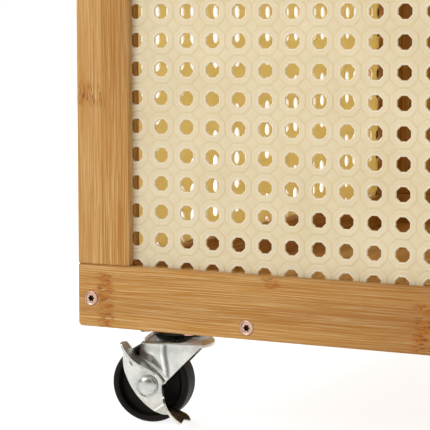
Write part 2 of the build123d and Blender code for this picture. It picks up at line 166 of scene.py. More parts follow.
def bamboo(name, along, across, strip=14.0, offset=0.0, seed=0.0, tone=0.0, pair=None, knots=None, fade=None):
    """Laminated bamboo: grain along one axis, strips side by side across another.

    strip and offset are in mm. pair gives even and odd strips a tone each, from -1, pale, to 1, dark;
    without it they draw one by lot. knots lists (u, v low, v high, reach) in mm; without it knots are
    scattered, one strip at a time. fade is (u where it starts, u where it is full, how dark, v above
    which it shows).
    """
    s = Shader(name)
    xyz = s.split(s.point)
    depth = ({"x", "y", "z"} - {along, across}).pop()
    u, v, w = (s.times(xyz[AXES[axis]], 1000.0) for axis in (along, across, depth))

    place = s.math("DIVIDE", s.add(v, offset), strip)
    index = s.math("FLOOR", place)
    within = s.math("FRACT", place)
    phase = s.random(s.join(index, seed, 7.0))
    seam = s.ramp(s.math("MINIMUM", within, s.math("SUBTRACT", 1.0, within)), 0.0, 0.03, 1.0, 0.0)
    if pair is None:
        tint = s.times(s.math("SUBTRACT", s.random(s.join(index, seed, 0.0)), 0.5), 0.5)
    else:
        odd = s.times(s.math("FRACT", s.times(index, 0.5)), 2.0)
        tint = s.add(s.times(odd, pair[1] - pair[0]), pair[0])
    tint = s.add(tint, tone)

    # Fibres: long thin streaks of three widths, which wander a little and part round a knot.
    along_u = s.add(u, s.times(phase, 500.0))
    wander = s.times(s.math("SUBTRACT", s.noise(s.join(s.times(along_u, 0.010), index, seed)), 0.5), 4.0)
    v_bent = s.add(v, wander)
    broad = s.noise(s.join(s.times(along_u, 0.006), s.times(v_bent, 0.20), s.times(w, 0.2)), detail=2.0)
    streaks = s.join(s.times(along_u, 0.013), s.times(v_bent, 1.05), s.times(w, 1.05))
    streak = s.noise(streaks, detail=3.0, rough=0.7)
    fibres = s.join(s.times(along_u, 0.022), s.times(v_bent, 2.2), s.times(w, 2.2))
    fibre = s.noise(fibres, detail=3.0, rough=0.65)
    pores = s.noise(s.join(s.times(along_u, 0.12), s.times(v_bent, 3.6), s.times(w, 3.6)), detail=2.0)

    ragged = s.noise(s.join(s.times(u, 0.12), s.times(v, 0.55), seed), detail=3.0)
    shift = s.times(s.math("SUBTRACT", ragged, 0.5), 9.0)
    if knots is None:
        turn = s.math("FRACT", s.add(s.math("DIVIDE", u, 270.0), phase))
        near = s.math("ABSOLUTE", s.add(s.times(s.math("SUBTRACT", turn, 0.5), 270.0), shift))
        haze = s.ramp(near, 1.0, 7.5, 1.0, 0.0)
    else:
        haze = None
        for at, low, high, reach in knots:
            near = s.math("ABSOLUTE", s.add(u, shift, -at))
            one = s.times(
                s.ramp(near, 0.2 * reach, reach, 1.0, 0.0),
                s.ramp(v, low - 0.8, low + 0.8),
                s.ramp(v, high - 0.8, high + 0.8, 1.0, 0.0),
            )
            haze = one if haze is None else s.math("MAXIMUM", haze, one)
    dashes = s.noise(s.join(s.times(u, 0.30), s.times(v, 1.7), s.times(w, 1.7)), detail=2.0, rough=0.6)
    dash = s.times(s.ramp(dashes, 0.53, 0.61), haze)
    patches = s.noise(s.join(s.times(u, 0.16), s.times(v, 0.5), w), detail=2.0)
    patch = s.times(s.ramp(patches, 0.38, 0.62), haze)

    base = s.blend(s.ramp(streak, 0.36, 0.64), BAMBOO_LIGHT, BAMBOO_MID)
    base = s.blend(s.times(s.ramp(broad, 0.40, 0.68), 0.30), base, BAMBOO_DARK)
    base = s.blend(s.times(s.ramp(streak, 0.56, 0.70), 0.60), base, BAMBOO_ORANGE)
    base = s.blend(s.times(s.ramp(streak, 0.44, 0.30), 0.55), base, BAMBOO_PALE)
    base = s.blend(s.times(s.ramp(fibre, 0.51, 0.62), 0.75), base, BAMBOO_ORANGE)
    base = s.blend(s.times(s.ramp(fibre, 0.48, 0.37), 0.58), base, BAMBOO_PALE)
    base = s.blend(s.times(s.ramp(pores, 0.64, 0.72), 0.55), base, BAMBOO_DARK)
    base = s.blend(s.math("MAXIMUM", s.times(tint, 0.8), 0.0), base, BAMBOO_DARK)
    base = s.blend(s.math("MAXIMUM", s.times(tint, -1.0), 0.0), base, BAMBOO_PALE)
    if fade is not None:
        start, end, dark, above = fade
        faded = s.times(s.ramp(u, start, end, 0.0, dark), s.ramp(v, above - 0.3, above + 0.3))
        base = s.blend(faded, base, BAMBOO_DARK)
    base = s.blend(s.times(patch, 0.90), base, KNOT_HAZE)
    base = s.blend(s.times(dash, 0.80), base, KNOT_DASH)
    base = s.blend(s.times(seam, 0.35), base, BAMBOO_DARK)

    s.set(Base_Color=base, Roughness=s.ramp(streak, 0.3, 0.7, 0.42, 0.58), Specular_IOR_Level=0.25)
    relief = s.add(fibre, s.times(streak, 0.8), s.times(seam, -0.6), s.times(dash, -0.2))
    s.bump(relief, 0.30, 0.10 * MM)
    return s.material


def paint(node, material):
    """Give a CAD node one material."""
    mesh = frame["nodes"][node].data
    mesh.materials.clear()
    mesh.materials.append(material)


# Knots and the fades of the two bars at the left front corner, in mm.
RAIL_KNOTS = ((-285.0, 49.0, 74.5, 6.0), (-198.5, 73.0, 78.0, 5.5), (-126.0, 49.0, 71.0, 7.5),
              (22.0, 48.0, 63.0, 6.0), (131.0, 63.0, 79.0, 6.0), (246.0, 48.0, 79.0, 6.5))
POST_KNOTS = ((159.0, -300.0, -286.4, 7.0), (352.0, -286.4, -272.0, 5.0), (447.0, -300.0, -286.4, 5.0))
POST_FADE = (135.0, 170.0, 0.20, -286.4)
RAIL_STRIP, RAIL_OFFSET = 15.0, 11.5
RAIL_FADE = (-230.0, -110.0, 0.40, 0.0)


def dress_bars():
    """Every bamboo bar and board, its grain along its length and its strips across its face."""
    post, rail = "front_post_left", "front_bottom_rail"
    post_wood = {"pair": (0.14, -0.11), "knots": POST_KNOTS, "fade": POST_FADE}
    paint(post, bamboo(post, "z", "x", offset=6.4, seed=1.0, **post_wood))
    rail_wood = {"pair": (0.07, 0.03), "knots": RAIL_KNOTS, "fade": RAIL_FADE}
    paint(rail, bamboo(rail, "x", "z", RAIL_STRIP, 12.0, 11.0, **rail_wood))
    upright = (
        "front_post_right", "front_centre_post", "back_stile_left", "back_stile_right", "back_centre_stile"
    )
    for k, node in enumerate(upright):
        paint(node, bamboo(node, "z", "x", seed=k + 2.0, offset=2.0))
    for k, node in enumerate(("front_top_rail", "back_bottom_rail", "back_top_rail")):
        paint(node, bamboo(node, "x", "z", RAIL_STRIP, RAIL_OFFSET, k + 12.0))
    for m, side in enumerate(("left", "right")):
        for k, part in enumerate(("front_stile", "rear_stile")):
            node = f"{side}_{part}"
            # tone=-0.10 paints light: the side stiles are paler, standing in for light inside the frame.
            paint(node, bamboo(node, "z", "y", seed=10 * m + k + 21.0, tone=-0.10))
        for k, part in enumerate(("bottom_rail", "top_rail")):
            node = f"{side}_{part}"
            paint(node, bamboo(node, "y", "z", RAIL_STRIP, RAIL_OFFSET, 10 * m + k + 23.0))
    boards = (
        "floor_slat_left", "floor_board_left", "floor_board_centre", "floor_board_right", "floor_slat_right"
    )
    for k, node in enumerate(boards):
        # tone=-0.20 paints light: the floor boards are paler, standing in for light inside the frame.
        paint(node, bamboo(node, "y", "x", strip=20.0, seed=k + 51.0, tone=-0.20))
    paint("divider_frame", bamboo("divider_frame", "z", "y", seed=61.0))
    for k, side in enumerate(("left", "right")):
        paint(f"lid_{side}_frame", bamboo(f"lid_{side}_frame", "x", "y", seed=k + 71.0))


# ---------------------------------------------------------------- cane webbing
PITCH = 13.25 * MM
HOLE = 3.28  # middle of a hole to its flat side, mm
FIRST_HOLE = 1.65 * MM  # edge of a front opening to the first hole's middle
SIDE_FIRST_HOLE = 4.0 * MM
ROW_SHIFT = -0.35 * MM  # the lowest row of holes against the first hole's height over the panel's edge
LID_FIRST_ROW = 6.375 * MM
PANEL_TUCK = 5.0 * MM
WEB_THICK = 1.2
# Paleness is painted light: above 0.95 a painted highlight on the raised rims, below 0.75 painted shade in the
# grooves and in the dashes between holes.
RING_STEPS = (  # distance of an eight-sided ring from the hole's middle, its height, and how pale it is
    (3.28, -0.55, 0.90),
    (3.52, 0.00, 1.20),
    (3.84, 0.06, 1.20),
    (4.30, -0.12, 0.80),
    (5.60, -0.04, 0.85),
    (6.05, -0.08, 0.80),
    (6.34, -0.24, 0.45),
)
GROOVE = (-0.24, 0.50)  # height and paleness
DASH = (-0.30, 0.0)  # the groove halfway between two holes
DIAMOND = 2.95  # half the diagonal of the raised diamond between four holes, mm
DIAMOND_TOP = (-0.08, 0.90)


def cane_material():
    """Matt moulded plastic in a cream colour that lets warm light through, with painted shade in its grooves and
    painted highlights on its raised rims.
    """
    s = Shader("cane_plastic")
    cloud = s.noise(s.point, scale=30.0, detail=3.0)
    grain = s.noise(s.point, scale=1000.0, detail=3.0, rough=0.6)
    pale = s.attribute("pale")
    base = s.blend(s.ramp(cloud, 0.3, 0.7), (0.798, 0.745, 0.560), (0.858, 0.815, 0.645))
    # Painted shade in the grooves and painted highlights on the raised rims, from the pale attribute.
    base = s.blend(s.ramp(pale, 0.75, 0.0, 0.0, 0.50), base, (0.690, 0.565, 0.310))
    base = s.blend(s.ramp(pale, 0.95, 1.2, 0.0, 0.75), base, (0.965, 0.935, 0.870))
    base = s.blend(s.times(s.ramp(grain, 0.48, 0.72), 0.30), base, (0.73, 0.62, 0.42))
    s.set(Base_Color=base, Roughness=0.55, Specular_IOR_Level=0.30)
    s.bump(grain, 0.35, 0.12 * MM)
    through = s.tree.nodes.new("ShaderNodeBsdfTranslucent")
    through.inputs["Color"].default_value = (0.915, 0.765, 0.37, 1.0)
    mix = s.tree.nodes.new("ShaderNodeMixShader")
    mix.inputs[0].default_value = 0.42
    s.put(mix.inputs[1], s.surface.outputs[0])
    s.put(mix.inputs[2], through.outputs[0])
    s.put(s.tree.nodes["Material Output"].inputs["Surface"], mix.outputs[0])
    return s.material


def octagon(apothem):
    """Corners of an eight-sided ring with flat sides right, up, left and down."""
    t = apothem * math.tan(math.pi / 8)
    a = apothem
    return [(a, -t), (a, t), (t, a), (-t, a), (-a, t), (-a, -t), (-t, -a), (t, -a)]


def cane_cell(holed):
    """One square of webbing in mm: points with height and paleness, and faces, front, back and hole."""
    half = PITCH / MM / 2
    points, faces = [], []

    def add(x, y, height, pale):
        points.append((x, y, height, pale))
        return len(points) - 1

    t = RING_STEPS[-1][0] * math.tan(math.pi / 8)
    d = half - DIAMOND
    border = []
    for k in range(4):
        c, s = (1, 0, -1, 0)[k], (0, 1, 0, -1)[k]
        for along, level in ((-d, GROOVE), (-t, DASH), (t, DASH), (d, GROOVE), (half, DIAMOND_TOP)):
            border.append((c * half - s * along, s * half + c * along, *level))
    front = [add(*p) for p in border]
    back = [add(x, y, -WEB_THICK, 0.8) for x, y, _, _ in border]
    count = len(border)
    if not holed:
        middle, behind = add(0, 0, -0.1, 0.8), add(0, 0, -WEB_THICK, 0.8)
        for k in range(count):
            n = (k + 1) % count
            faces += [(front[k], front[n], middle), (back[n], back[k], behind)]
        return points, faces
    rings = [[add(x, y, h, pale) for x, y in octagon(r)] for r, h, pale in RING_STEPS]
    back_ring = [add(x, y, -WEB_THICK, 0.8) for x, y in octagon(HOLE)]
    for inner, outer in zip(rings, rings[1:]):
        for k in range(8):
            n = (k + 1) % 8
            faces.append((inner[k], outer[k], outer[n], inner[n]))
    last = rings[-1]
    for k in range(4):
        a = [front[(5 * k + i) % count] for i in range(7)]
        b = [back[(5 * k + i) % count] for i in range(7)]
        low, high, corner = 2 * k, 2 * k + 1, (2 * k + 2) % 8
        faces += [
            (last[low], a[1], a[2], last[high]),
            (last[high], a[2], a[3], a[5], a[6], last[corner]),
            (a[3], a[4], a[5]),
            (back_ring[high], b[2], b[1], back_ring[low]),
            (back_ring[corner], b[6], b[5], b[4], b[3], b[2], back_ring[high]),
        ]
    for k in range(8):
        n = (k + 1) % 8
        faces.append((rings[0][n], back_ring[n], back_ring[k], rings[0][k]))
    return points, faces


def cane_panel(node, across, up, outward, body, material, first=(FIRST_HOLE, ROW_SHIFT)):
    """Webbing in place of a plain CAD panel: across and up are its axes, outward the way its face looks."""
    low, high = (np.array(c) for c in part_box(node))
    axes, n = (AXES[across], AXES[up]), AXES[outward[-1]]
    sign = -1.0 if outward[0] == "-" else 1.0
    face = low[n] if sign < 0 else high[n]
    centres, holed = [], []
    for axis, shift in zip(axes, first):
        start = low[axis] + PANEL_TUCK + shift
        start -= PITCH * math.ceil((start - PITCH / 2 - low[axis]) / PITCH)
        centre = start + PITCH * np.arange(math.ceil((high[axis] - start + PITCH / 2) / PITCH))
        reach = HOLE * 1.03 * MM
        centres.append(centre)
        holed.append((centre - reach > low[axis]) & (centre + reach < high[axis]))
    cells = {}
    for flag in (True, False):
        points, faces = cane_cell(flag)
        cells[flag] = (np.array(points), faces)
    coords, pale, faces, base = [], [], [], 0
    for i, ca in enumerate(centres[0]):
        for j, cb in enumerate(centres[1]):
            points, cell_faces = cells[bool(holed[0][i] and holed[1][j])]
            place = np.zeros((len(points), 3))
            for axis, column, centre in zip(axes, (0, 1), (ca, cb)):
                place[:, axis] = np.clip(points[:, column] * MM + centre, low[axis], high[axis])
            place[:, n] = face + sign * points[:, 2] * MM
            coords.append(place)
            pale.append(points[:, 3])
            faces += [tuple(v + base for v in f) for f in cell_faces]
            base += len(points)
    coords, pale = np.concatenate(coords), np.concatenate(pale)
    keys = np.round(coords / (0.01 * MM)).astype(np.int64)
    _, chosen, inverse = np.unique(keys, axis=0, return_index=True, return_inverse=True)
    inverse = inverse.reshape(-1)
    kept = []
    for f in faces:
        loop = list(dict.fromkeys(int(inverse[v]) for v in f))
        if len(loop) > 2:
            kept.append(loop)
    mesh = bpy.data.meshes.new(node + "_webbing")
    mesh.from_pydata(coords[chosen].tolist(), [], kept)
    mesh.attributes.new("pale", "FLOAT", "POINT").data.foreach_set("value", pale[chosen])
    bm = bmesh.new()
    bm.from_mesh(mesh)
    bmesh.ops.dissolve_degenerate(bm, dist=0.02 * MM, edges=bm.edges)
    bmesh.ops.recalc_face_normals(bm, faces=bm.faces)
    bm.to_mesh(mesh)
    bm.free()
    mesh.materials.append(material)
    piece = bpy.data.objects.new(node + "_webbing", mesh)
    bpy.context.collection.objects.link(piece)
    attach(piece, body)
    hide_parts(node)


def weave_panels():
    """All nine panels, each with its relief to the outside."""
    material = cane_material()
    side_first = (SIDE_FIRST_HOLE, ROW_SHIFT)
    for side in ("left", "right"):
        cane_panel(f"front_panel_{side}", "x", "z", "-y", "body", material)
        cane_panel(f"back_panel_{side}", "x", "z", "+y", "body", material)
        cane_panel(f"lid_{side}_panel", "x", "y", "+z", f"lid_{side}", material, (FIRST_HOLE, LID_FIRST_ROW))
    cane_panel("left_panel", "y", "z", "-x", "body", material, side_first)
    cane_panel("right_panel", "y", "z", "+x", "body", material, side_first)
    cane_panel("divider_panel", "y", "z", "-x", "body", material, side_first)


# ---------------------------------------------------------------- metal and plastic
PLATING = ((0.72, 0.71, 0.65), (0.53, 0.54, 0.52), (0.58, 0.51, 0.40))  # pale, deep and stained
SCREW_PLATING = ((0.68, 0.42, 0.33), (0.52, 0.31, 0.24), (0.56, 0.41, 0.24))


def zinc_material(name, pale, deep, stain, rough, drawn_along="z", shadow_and_grease_below=None, face=None):
    """Zinc plating: a clouded mirror, stained here and there, with fine scratches along one axis.

    Below a height given in mm above the ground, it is painted black: painted shadow and dark
    reflections in the gap under the rail, over a greased race. Sockets behind face, in mm
    along Y, are painted dark inside: painted shade in the recess.
    """
    s = Shader(name)
    cloud = s.noise(s.point, scale=120.0, detail=4.0, rough=0.6)
    hue = s.noise(s.point, scale=60.0, detail=2.0)
    xyz = s.split(s.point)
    scales = [140.0 if axis == drawn_along else 2600.0 for axis in AXES]
    drawn = s.noise(s.join(*(s.times(part, scale) for part, scale in zip(xyz, scales))), detail=2.0)
    speck = s.noise(s.point, scale=1500.0, detail=3.0)
    base = s.blend(s.ramp(cloud, 0.32, 0.68), pale, deep)
    base = s.blend(s.times(s.ramp(hue, 0.48, 0.70), 0.5), base, stain)
    base = s.blend(s.times(s.ramp(speck, 0.60, 0.72), 0.25), base, (0.30, 0.29, 0.27))
    # Painted shade and reflections: the shade attribute darkens the plating towards black, and below zero paints a
    # highlight.
    tone = s.attribute("shade")
    base = s.blend(s.ramp(tone, 0.0, 1.0), base, (0.030, 0.028, 0.028))
    base = s.blend(s.ramp(tone, 0.0, -1.0), base, (0.97, 0.98, 0.99))
    # Painted shadow and dark reflections in the gap under the rail, over a greased race: black below that height.
    if shadow_and_grease_below is not None:
        level = s.times(xyz[2], 1000.0)
        base = s.blend(s.ramp(level, shadow_and_grease_below, shadow_and_grease_below - 0.3), base, (0.020, 0.017, 0.014))
    # Painted shade in the socket recesses: dark behind the head's face.
    if face is not None:
        depth = s.times(xyz[1], 1000.0)
        base = s.blend(s.ramp(depth, face + 0.02, face + 0.25), base, (0.025, 0.022, 0.010))
    s.set(Base_Color=base, Metallic=1.0, Roughness=s.ramp(cloud, 0.3, 0.7, rough - 0.05, rough + 0.08))
    s.bump(s.add(drawn, s.times(speck, 0.5)), 0.08, 0.04 * MM)
    return s.material


def black_material():
    """Black moulded plastic: smooth, faintly brown, with a dull bloom."""
    s = Shader("black_plastic")
    fine = s.noise(s.point, scale=1100.0, detail=3.0)
    cloud = s.noise(s.point, scale=70.0, detail=3.0)
    s.set(Base_Color=s.blend(s.ramp(cloud, 0.35, 0.7), (0.0045, 0.0034, 0.0028), (0.0095, 0.0068, 0.0052)))
    s.set(Roughness=s.ramp(cloud, 0.3, 0.7, 0.45, 0.60), Specular_IOR_Level=0.12)
    s.bump(fine, 0.12, 0.05 * MM)
    return s.material


# ---------------------------------------------------------------- mesh helpers
class Soup:
    """Points in mm and faces, gathered from several closed surfaces into one piece."""

    def __init__(self):
        self.points, self.faces = [], []

    def grid(self, rows, closed=False):
        """Quads between rows of points; closed joins each row's end to its start."""
        base, width = len(self.points), len(rows[0])
        for row in rows:
            self.points += [tuple(p) for p in row]
        for r in range(len(rows) - 1):
            for c in range(width if closed else width - 1):
                n = (c + 1) % width
                a, b = base + r * width, base + (r + 1) * width
                self.faces.append((a + c, a + n, b + n, b + c))

    def slab(self, outer, inner):
        """A closed sheet between two grids of the same size."""
        self.grid(outer)
        self.grid([row[::-1] for row in inner])
        for a, b in ((outer[0], inner[0]), (outer[-1], inner[-1])):
            self.grid([a, b])
        for end in (0, -1):
            self.grid([[row[end] for row in outer], [row[end] for row in inner]])

    def turned(self, profile, steps, place):
        """A profile of (radius, height) pairs turned round an axis; place(r, angle, h) gives the point."""
        angles = [2 * math.pi * k / steps for k in range(steps)]
        self.grid([[place(r, a, h) for a in angles] for r, h in profile], closed=True)

    def piece(self, name, matrix, material, body, slot, nodes=(), shade=None, sharp=38.0):
        """Make the gathered surfaces one object that rides a body.

        shade(point, normal) says how dark the plating is painted, from -1, a painted highlight, to 1, painted
        black shade and reflection.
        """
        mesh = bpy.data.meshes.new(name)
        mesh.from_pydata([matrix @ (Vector(p) * MM) for p in self.points], [], self.faces)
        bm = bmesh.new()
        bm.from_mesh(mesh)
        bmesh.ops.remove_doubles(bm, verts=bm.verts, dist=0.004 * MM)
        bmesh.ops.dissolve_degenerate(bm, dist=0.002 * MM, edges=bm.edges)
        bmesh.ops.recalc_face_normals(bm, faces=bm.faces)
        for edge in bm.edges:
            edge.smooth = len(edge.link_faces) == 2 and edge.calc_face_angle(0.0) < math.radians(sharp)
        for face in bm.faces:
            face.smooth = True
        bm.to_mesh(mesh)
        bm.free()
        if shade:
            back = matrix.inverted()
            turn = back.to_3x3()
            tones = [shade((back @ v.co) / MM, turn @ v.normal) for v in mesh.vertices]
            mesh.attributes.new("shade", "FLOAT", "POINT").data.foreach_set("value", tones)
        mesh.materials.append(material)
        piece = bpy.data.objects.new(name, mesh)
        bpy.context.collection.objects.link(piece)
        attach(piece, body)
        if nodes:
            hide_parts(*nodes)
        return piece


def rounded(points, radius, steps=4):
    """A polyline with its inner corners rounded to about a radius."""
    out = [tuple(points[0])]
    for before, corner, after in zip(points, points[1:], points[2:]):
        b, c, a = Vector(before), Vector(corner), Vector(after)
        reach = min(radius, (b - c).length * 0.49, (a - c).length * 0.49)
        start, end = c + (b - c).normalized() * reach, c + (a - c).normalized() * reach
        for k in range(steps + 1):
            t = k / steps
            out.append(tuple((1 - t) ** 2 * start + 2 * t * (1 - t) * c + t * t * end))
    return out + [tuple(points[-1])]


def smoothstep(x, low, high):
    t = min(max((x - low) / (high - low), 0.0), 1.0)
    return t * t * (3 - 2 * t)


def hump(x, middle, width):
    return math.exp(-(((x - middle) / width) ** 2))


# ---------------------------------------------------------------- casters, mm
TRAIL = 12.0
WHEEL_R = 19.0
WHEEL_HALF = 8.0
CHEEK_IN, CHEEK_OUT = 8.8, 10.4
CHEEK_TOP, CHEEK_END = 39.0, 13.0
CROWN_R = 18.1
AXLE_R = 3.0
LEVER_IN = 10.7
LEVER_THICK = 1.2
TONGUE_HALF = 0.575  # half a tongue's thickness
LEVER_OUTLINE = (  # the plate's edge round the axle, mm from the axle's middle, ahead and up
    (-10.6, 20.4), (-8.1, 17.2), (-4.4, 13.2), (-1.2, 10.9), (2.2, 7.6), (4.6, 5.1), (6.4, 2.9),
    (7.1, 0.6), (7.1, -1.7), (7.5, -4.4), (8.7, -7.2), (10.4, -9.2), (12.6, -11.4), (10.6, -13.7),
    (7.5, -13.9), (5.0, -13.2), (3.0, -12.2), (-0.6, -9.8), (-4.2, -6.4), (-6.8, -3.2), (-8.7, -0.2),
    (-10.2, 2.9), (-11.5, 6.0), (-12.2, 9.3), (-12.4, 12.7), (-12.0, 16.4),
)
# Each tongue is a sheet between two edges; a point is ahead, out from the swivel plane, and up.
UPPER_TONGUE = (
    ((-10.9, 16.2, 21.8), (-10.6, 20.6, 21.6), (-9.9, 21.8, 20.4), (-8.3, 21.8, 17.5), (-6.3, 21.8, 15.2),
     (-4.4, 21.7, 13.2), (-1.7, 21.0, 11.2), (0.3, 18.0, 9.3), (3.0, 15.0, 7.0), (4.8, 13.0, 5.1),
     (6.4, 12.1, 2.8), (7.0, 12.0, 1.0)),
    ((-10.9, 16.0, 21.8), (-10.9, 11.8, 20.9), (-10.0, 10.9, 19.7), (-8.2, 10.9, 17.3), (-6.5, 10.9, 15.1),
     (-4.3, 10.9, 13.4), (-2.0, 10.9, 11.7), (-0.2, 10.9, 10.2), (2.2, 10.9, 8.2), (4.6, 10.9, 5.9),
     (6.6, 10.9, 3.2), (7.1, 10.9, 1.0)),
)
LOWER_TONGUE = (
    ((7.1, 11.4, -1.0), (7.5, 11.4, -4.4), (8.5, 13.0, -6.9), (10.4, 17.6, -8.3), (12.4, 20.8, -9.9),
     (14.2, 21.8, -12.0), (16.0, 21.8, -13.7), (17.2, 21.8, -14.7), (18.2, 21.8, -15.3), (19.0, 21.8, -15.8)),
    ((7.1, 10.9, -1.0), (7.5, 10.9, -4.4), (9.3, 10.9, -8.4), (11.4, 10.9, -9.7), (13.3, 10.9, -10.7),
     (15.2, 10.9, -11.7), (17.2, 10.9, -12.5), (18.9, 10.9, -13.3), (20.2, 10.9, -14.6), (20.9, 10.9, -16.2)),
)
BEAD = ((-18.0, 31.4), (-14.3, 30.6), (-10.1, 28.6), (-6.3, 25.4), (-3.2, 22.2), (0.0, 18.6))


def caster_matrix(name):
    """Swivel axis on the ground, X against the trail and Y along the axle to the rear."""
    joints = {j["name"]: j for j in frame["joints"]}
    swivel = Vector(joints[name + "_swivel"]["pos_m"])
    rear = Vector(joints[name + "_roll"]["axis"])
    if rear.y < 0:
        rear = -rear
    up = Vector((0, 0, 1))
    matrix = Matrix((rear.cross(up), rear, up)).transposed().to_4x4()
    matrix.translation = (swivel.x, swivel.y, 0.0)
    return matrix


def cheek_edges(z):
    """Left and right edge of a fork cheek at a height."""
    left = -16.1 + 0.5 * smoothstep(z, 35.0, CHEEK_TOP) - 1.9 * smoothstep(33.0 - z, 0.0, 14.0)
    if z > 21.4:
        return left, -0.6 + 0.97 * (z - 23.5)
    if z > WHEEL_R:
        return left, -6.0 + 3.4 * math.sqrt((z - WHEEL_R) / 2.4)
    reach = math.sqrt(max(36.0 - (z - WHEEL_R) ** 2, 0.0))
    return -TRAIL - reach, -TRAIL + reach


def cheek_ridge(z):
    """Where the bulge on a cheek's left half drops to the flat, at a height."""
    return -4.8 + 1.3 * smoothstep(36.0 - z, 0.0, 10.0)


def bead_distance(x, z):
    """How far a point of a cheek is above the rib along its lower edge."""
    return 0.78 * (z - float(np.interp(x, *zip(*BEAD))))


def cheek_shade(point, normal):
    """Painted shade and highlights on a cheek: black in the crease beside the bulge and under the rib, darker at
    the left edge, bright on the rib.
    """
    if abs(normal.y) < 0.4 or abs(point.y) < CHEEK_IN:
        return 0.0
    x, z = point.x, point.z
    ridge = cheek_ridge(z)
    # Painted shade in the crease beside the bulge, and a painted highlight on the ridge.
    crease = 0.62 * smoothstep(x, ridge + 0.1, ridge + 0.9) * (1 - smoothstep(x, ridge + 1.5, ridge + 2.9))
    glint = -0.9 * hump(x, ridge - 0.5, 0.55)
    left, _ = cheek_edges(z)
    # Painted shade along the left edge, dimming its reflection.
    dull = 0.40 * (1 - smoothstep(x, left + 0.4, left + 3.0))
    # A painted highlight on the bulge.
    spot = -0.8 * hump(x, -10.4, 1.9) * hump(z, 32.8, 2.6)
    off = bead_distance(x, z)
    mask = smoothstep(off, 0.6, 2.0) * (1 - smoothstep(z, CHEEK_TOP - 0.6, CHEEK_TOP + 0.6))
    # The rib: a painted highlight on it and painted shade on both sides of it.
    rib = 0.7 * hump(off, -0.75, 0.35) + 0.45 * hump(off, 0.85, 0.4) - 1.0 * hump(off, 0.05, 0.45)
    rib *= 1 - smoothstep(x, -3.4, -2.4)
    # A little painted shade in the middle of the bulge.
    middle = 0.20 * hump(x, -8.0, 2.6) * (1 - hump(z, 38.0, 2.5))
    return mask * (crease + glint + dull + spot + middle) + rib


def cheek_relief(x, z, left):
    """How far a cheek stands out: a bulge on its left half, a flat beyond, and a rib along its lower edge."""
    ridge = cheek_ridge(z)
    bulge = smoothstep(x, left - 1.6, left + 3.6) * (1 - smoothstep(x, ridge, ridge + 2.5))
    bulge *= 1.35 * (1.0 - 0.55 * smoothstep(z, 33.5, CHEEK_TOP + 1.0))
    off = bead_distance(x, z)
    bulge *= smoothstep(off, -1.0, 5.0)
    return bulge + 0.65 * hump(off, 0.0, 0.85) * (1 - smoothstep(x, -3.4, -1.8))


def crown_reach(angle):
    """Swivel axis to the crown's rim: a disc cut off in line with the cheeks."""
    return min(CROWN_R if math.cos(angle) > 0 else CROWN_R - 0.7, CHEEK_OUT / max(abs(math.sin(angle)), 0.01))


def make_fork(name, matrix, material):
    """Pressed steel: a domed crown bent down into two swaged cheeks, with a lip fore and aft."""
    soup = Soup()
    inset = rounded(  # how far inside the crown's rim, and the height
        [(6.0, 41.3), (4.4, 41.0), (1.9, 38.6), (0.8, 37.9), (0.15, 37.9), (0.0, 38.5), (0.05, 39.6),
         (0.8, 40.45), (2.4, 41.8), (4.2, 43.0), (5.2, 43.2), (6.4, 43.2)],
        0.5,
        3,
    )
    angles = [2 * math.pi * k / 144 for k in range(144)]

    def ring(d, z):
        return [((crown_reach(a) - d) * math.cos(a), (crown_reach(a) - d) * math.sin(a), z) for a in angles]

    bore_top = [(3.15 * math.cos(a), 3.15 * math.sin(a), 43.2) for a in angles]
    bore_bottom = [(x, y, 41.4) for x, y, _ in bore_top]
    rows = [ring(d, z) for d, z in inset]
    soup.grid(rows + [bore_top, bore_bottom, rows[0]], closed=True)
    for side in (-1, 1):
        sheets = []
        for depth in (CHEEK_OUT, CHEEK_IN):
            sheet = []
            for z in np.linspace(CHEEK_END, CHEEK_TOP, 84):
                left, right = cheek_edges(z)
                row = []
                for x in np.linspace(left, right, 64):
                    edge = min(x - left, right - x)
                    soft = 0.12 * (1 - smoothstep(edge, 0.0, 0.5)) if depth == CHEEK_OUT else 0.0
                    row.append((x, side * (depth + cheek_relief(x, z, left) - soft), z))
                sheet.append(row)
            left, right = cheek_edges(CHEEK_TOP)
            radius = 1.5 if depth == CHEEK_OUT else 0.5
            for t in np.linspace(0.12, 1.25, 9):
                row = []
                for x in np.linspace(left + 1.2 * t * t, right - 1.4 * t, 64):
                    relief = cheek_relief(x, CHEEK_TOP, left) * math.cos(t)
                    out = depth - radius * (1 - math.cos(t)) + relief
                    row.append((x, side * out, CHEEK_TOP + radius * math.sin(t)))
                sheet.append(row)
            sheets.append(sheet)
        soup.slab(*sheets)
    return soup.piece(
        name + "_fork_pressing", matrix, material, name + "_caster", "zinc", [name + "_fork"], cheek_shade
    )


def make_wheel(name, matrix, material):
    """Moulded wheel: soft shoulders, a rim ring, and a deep recess round a stepped hub on each side."""
    h = WHEEL_HALF
    side = rounded(
        [(AXLE_R + 0.06, 0.0), (AXLE_R + 0.06, h), (6.2, h), (6.6, h - 0.4), (6.8, 4.6), (7.6, 3.9),
         (14.0, 3.6), (15.0, 4.4), (15.7, 7.2), (16.1, 7.6), (17.0, 7.8), (18.0, 7.5), (18.7, 6.8),
         (WHEEL_R, 5.8), (WHEEL_R, 0.0)],
        0.4,
    )
    profile = side + [(r, -z) for r, z in reversed(side)]
    soup = Soup()
    soup.turned(profile, 128, lambda r, a, z: (r * math.cos(a) - TRAIL, z, r * math.sin(a) + WHEEL_R))
    return soup.piece(
        name + "_wheel_moulding", matrix, material, name + "_roller", "black_plastic", [name + "_wheel"]
    )


